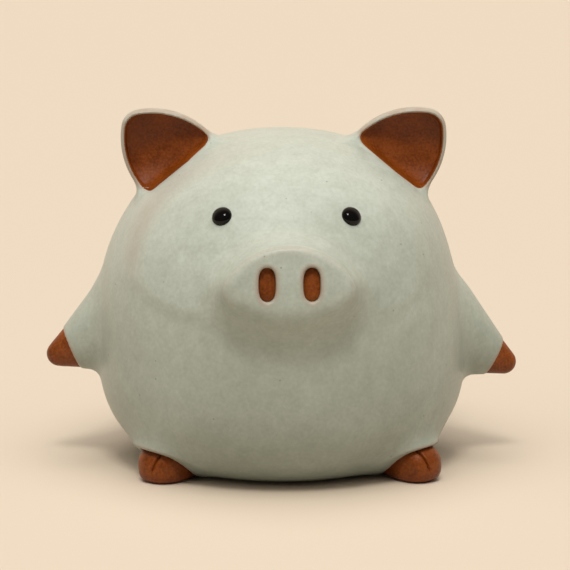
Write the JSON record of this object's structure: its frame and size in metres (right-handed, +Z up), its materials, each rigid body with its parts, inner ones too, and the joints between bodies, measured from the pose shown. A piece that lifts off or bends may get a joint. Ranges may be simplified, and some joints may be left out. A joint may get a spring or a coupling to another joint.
{
  "type": "pig_figurine",
  "caption": "Round sitting pig figurine in grey-green satin glazed stoneware, with bare red-brown clay ears, hooves and nostrils and black bead eyes.",
  "frame": {"origin": "middle of the flat base, on the surface it stands on", "axes": "+Z up; the pig faces -Y; +X is the pig's own left side"},
  "size_m": [0.09, 0.0781, 0.0684],
  "materials": {
    "celadon_glaze": "satin",
    "bare_clay": "matte",
    "black_glaze": "gloss"
  },
  "bodies": {
    "root": {"front_shell": "celadon_glaze", "back_shell": "celadon_glaze", "snout": "celadon_glaze", "tail": "celadon_glaze", "left_ear": "celadon_glaze", "left_arm": "celadon_glaze", "right_ear": "celadon_glaze", "right_arm": "celadon_glaze", "base_slab": "bare_clay", "left_nostril": "bare_clay", "left_ear_lining": "bare_clay", "left_arm_hoof": "bare_clay", "left_foot": "bare_clay", "right_nostril": "bare_clay", "right_ear_lining": "bare_clay", "right_arm_hoof": "bare_clay", "right_foot": "bare_clay", "left_eye": "black_glaze", "right_eye": "black_glaze"}
  },
  "joints": []
}
